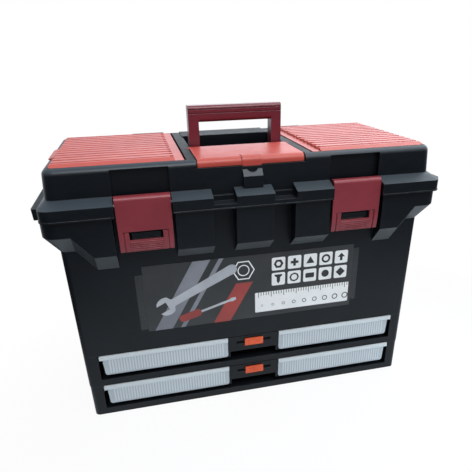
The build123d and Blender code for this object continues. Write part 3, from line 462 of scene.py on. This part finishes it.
# Slanted bands and two tools on the left
ink_blue = card("ink_blue", (0.16, 0.17, 0.20), (0.25, 0.26, 0.30), mottle_scale=9.0)
ink_steel = card("ink_steel", (0.40, 0.42, 0.46), (0.55, 0.57, 0.61), mottle_scale=12.0)
ink_red = card("ink_red", (0.24, 0.035, 0.03), (0.38, 0.05, 0.04), mottle_scale=12.0)
beam_height = 105
beam_lean = 62
beams = [
    [(u, 0), (u + width, 0), (u + width + beam_lean, beam_height), (u + beam_lean, beam_height)]
    for u, width in ((-150, 26), (-112, 7))
]
wedge = [(-62, 0), (-36, 0), (0, 62), (-26, 62)]
spanner_place = (-118, 44, 26)
driver_place = (-96, 18, 16)
driver_handle = rounded(-17, -6, 17, 6, corner=4.5)
driver_shaft = [(17, -1.8), (62, -1.8), (66, -3.2), (72, -2.0), (72, 2.0), (66, 3.2), (62, 1.8), (17, 1.8)]
tools = [
    placed(spanner(length=96, half=6.0, head=15.0, jaw=6.5), *spanner_place),
    placed(driver_shaft, *driver_place),
]
ink("label_beams", beams, layer=1, material=ink_blue)
ink("label_wedge", [wedge], layer=1, material=ink_red)
ink("label_tools", tools, layer=2, material=ink_steel)
ink("label_grip", [placed(driver_handle, *driver_place)], layer=3, material=ink_red)

# Tiles, ruler strip and a nut's outline on the right, in white
ink_white = card("ink_white", (0.86, 0.87, 0.87), (0.92, 0.93, 0.93))
tile = 21
tile_round = 2.5
tile_left = 29
tile_pitch = 25
tile_columns = 5
tile_rows = (76, 51)
tile_places = [(tile_left + tile_pitch * column, w) for w in tile_rows for column in range(tile_columns)]
tiles = [rounded(u, w, u + tile, w + tile, tile_round) for u, w in tile_places]
ruler_top = 42
ruler = rounded(3, 8, 155, ruler_top, corner=1.5)
nut_place = (-14, 82)
nut_rings = [ring(6, *nut_place, radius=17, hole=15), ring(36, *nut_place, radius=9, hole=7.5)]
ink("label_tiles", [*tiles, ruler], layer=1, material=ink_white, rings=nut_rings)

# A plain sign on each tile, and the ruler's ticks and gauge holes, in black
ink_dark = card("ink_dark", (0.012, 0.012, 0.013), (0.022, 0.022, 0.023))
icons = [(u + tile / 2, w + tile / 2) for u, w in tile_places]
nut_at, cross_at, triangle_at, washer_at, arrow_at = icons[:tile_columns]
screw_at, octagon_at, plate_at, disc_at, diamond_at = icons[tile_columns:]
cross = [(-2, -6), (2, -6), (2, -2), (6, -2), (6, 2), (2, 2)]
cross += [(-u, -w) for u, w in cross]
arrow = [(-2, -6), (2, -6), (2, 0), (6, 0), (0, 6.5), (-6, 0), (-2, 0)]
screw = [(-6, 7.5), (-6, 5.5), (-2.6, 2.5), (-2.6, -3.5), (0, -8)]
screw += [(-u, w) for u, w in reversed(screw[:-1])]
plate = rounded(-7, -4, 7, 4, corner=1.5)
triangle_drop = 1
signs = [
    placed(cross, *cross_at),
    regular(3, triangle_at[0], triangle_at[1] - triangle_drop, radius=7.5, turn=math.pi / 2),
    placed(arrow, *arrow_at),
    placed(screw, *screw_at),
    placed(plate, *plate_at),
    regular(24, *disc_at, radius=6),
    regular(4, *diamond_at, radius=7.5),
]
sign_rings = [
    ring(6, *nut_at, radius=7.5, hole=3.8),
    ring(24, *washer_at, radius=7, hole=4),
    ring(8, *octagon_at, radius=7.5, hole=5),
]
tick_first = 8
tick_pitch = 4
tick_count = 37
tick_width = 0.9
tick_long = 9.0
tick_short = 5.5
ticks_per_mark = 5
ticks = []
for i in range(tick_count):
    u = tick_first + tick_pitch * i
    low = ruler_top - (tick_long if i % ticks_per_mark == 0 else tick_short)
    ticks.append([(u, low), (u + tick_width, low), (u + tick_width, ruler_top), (u, ruler_top)])
gauge_first = 14
gauge_pitch = 17
gauge_count = 9
gauge_height = 19
gauge_radius = 1.6
gauge_growth = 0.45
gauge_bore_share = 0.7
gauge = []
for i in range(gauge_count):
    u = gauge_first + gauge_pitch * i
    radius = gauge_radius + gauge_growth * i
    gauge.append(ring(20, u, gauge_height, radius, hole=radius * gauge_bore_share))
ink("label_icons", signs + ticks, layer=2, material=ink_dark, rings=sign_rings + gauge)

# Floor, backdrop and light. The camera sees white.
# Gloss and clear plastic see a faintly blue white in the backdrop and, as a painted reflection, in the
# floor's painted pools of light.
white = (1.0, 1.0, 1.0)
mirrored_white = (0.86, 0.93, 1.0)
floor_reach = 40.0
pool_middle = (0.12, -0.22, 0)
pool_edge = (0.36, 0.66)
rear_span = (0.3, 0.9)
# Painted pool of light on the floor, and painted shade on the rest of it
painted_light_pool_tone = (0.84, 0.93, 1.0)
painted_shade_floor_tone = (0.07, 0.075, 0.085)
white_share = 0.93
rightward_share = 0.7
rearward_share = 0.75
sky_span = (0.3, 1.0)
sky_levels = (0.10, 2.8)


def mirror_rays(tree, rays):
    """One for the rays in gloss and clear plastic, which show the background too."""
    return maths(tree, "MAXIMUM", rays.outputs["Is Glossy Ray"], rays.outputs["Is Transmission Ray"])


def floor_look():
    """Floor with painted pools of light before the box and far behind it, dark elsewhere as painted shade,
    and white to the camera but for a faint shadow.
    """
    material, tree, shader = new_material("floor")
    where = tree.nodes.new("ShaderNodeTexCoord").outputs["Object"]
    from_pool = tree.nodes.new("ShaderNodeVectorMath")
    from_pool.operation = "DISTANCE"
    from_pool.inputs[1].default_value = pool_middle
    tree.links.new(where, from_pool.inputs[0])
    away = remap(tree, from_pool.outputs["Value"], pool_edge)
    # Painted light: the floor is pale in a pool before the box and far behind it, and dark elsewhere as
    # painted shade
    painted_dim_mask = maths(tree, "MINIMUM", away, remap(tree, along(tree, where, "Y"), rear_span, to=(1.0, 0.0)))
    tree.links.new(mix(tree, painted_dim_mask, painted_light_pool_tone, painted_shade_floor_tone), shader.inputs["Base Color"])
    shader.inputs["Roughness"].default_value = 0.9
    shader.inputs["Specular IOR Level"].default_value = 0.1
    rays = tree.nodes.new("ShaderNodeLightPath")
    from_camera = rays.outputs["Is Camera Ray"]
    direct = maths(tree, "MULTIPLY", from_camera, remap(tree, away, (0.0, 1.0), to=(white_share, 1.0)))
    # In the painted pools the floor also glows for gloss rays, a painted reflection
    painted_glow_share = remap(tree, painted_dim_mask, (0.0, 1.0), to=(white_share, 0.0))
    share = maths(tree, "MAXIMUM", direct, maths(tree, "MULTIPLY", mirror_rays(tree, rays), painted_glow_share))
    glow = tree.nodes.new("ShaderNodeEmission")
    glow.inputs["Strength"].default_value = 1.0
    tree.links.new(mix(tree, from_camera, mirrored_white, white), glow.inputs["Color"])
    blend = tree.nodes.new("ShaderNodeMixShader")
    tree.links.new(share, blend.inputs["Fac"])
    tree.links.new(shader.outputs["BSDF"], blend.inputs[1])
    tree.links.new(glow.outputs["Emission"], blend.inputs[2])
    tree.links.new(blend.outputs["Shader"], tree.nodes["Material Output"].inputs["Surface"])
    return material


def add_floor():
    """One large square that the box stands on."""
    r = floor_reach
    mesh = bpy.data.meshes.new("floor")
    mesh.from_pydata([(-r, -r, 0), (r, -r, 0), (r, r, 0), (-r, r, 0)], [], [(0, 1, 2, 3)])
    mesh.materials.append(floor_look())
    floor = bpy.data.objects.new("floor", mesh)
    scene.collection.objects.link(floor)


def add_world():
    """White background, and a sky light that grows from the front left to the rear right."""
    world = bpy.data.worlds.new("studio")
    world.use_nodes = True
    scene.world = world
    tree = world.node_tree
    background = tree.nodes["Background"]
    rays = tree.nodes.new("ShaderNodeLightPath")
    from_camera = rays.outputs["Is Camera Ray"]
    seen = maths(tree, "MAXIMUM", from_camera, mirror_rays(tree, rays))
    direction = tree.nodes.new("ShaderNodeTexCoord").outputs["Generated"]
    rightward = maths(tree, "MULTIPLY", along(tree, direction, "X"), rightward_share)
    rearward = maths(tree, "MULTIPLY", along(tree, direction, "Y"), rearward_share)
    light = remap(tree, maths(tree, "ADD", rightward, rearward), sky_span, to=sky_levels)
    lighting = maths(tree, "MULTIPLY", maths(tree, "SUBTRACT", 1.0, from_camera), light)
    tree.links.new(maths(tree, "MAXIMUM", lighting, seen), background.inputs["Strength"])
    tree.links.new(mix(tree, from_camera, mirrored_white, white), background.inputs["Color"])


def softbox(name, place, size, watts, aim=(0, 0, 0.2)):
    """Rectangular area lamp that points at the box."""
    data = bpy.data.lights.new(name, "AREA")
    data.shape = "RECTANGLE"
    data.size, data.size_y = size
    data.energy = watts
    lamp = bpy.data.objects.new(name, data)
    lamp.location = place
    lamp.rotation_euler = (Vector(aim) - Vector(place)).to_track_quat("-Z", "Y").to_euler()
    scene.collection.objects.link(lamp)


add_floor()
add_world()
softbox("overhead", place=(1.0, 0.1, 1.9), size=(2.0, 1.4), watts=21)
softbox("front", place=(0.15, -1.7, 2.1), size=(1.5, 0.9), watts=38)

scene.view_settings.view_transform = "Standard"
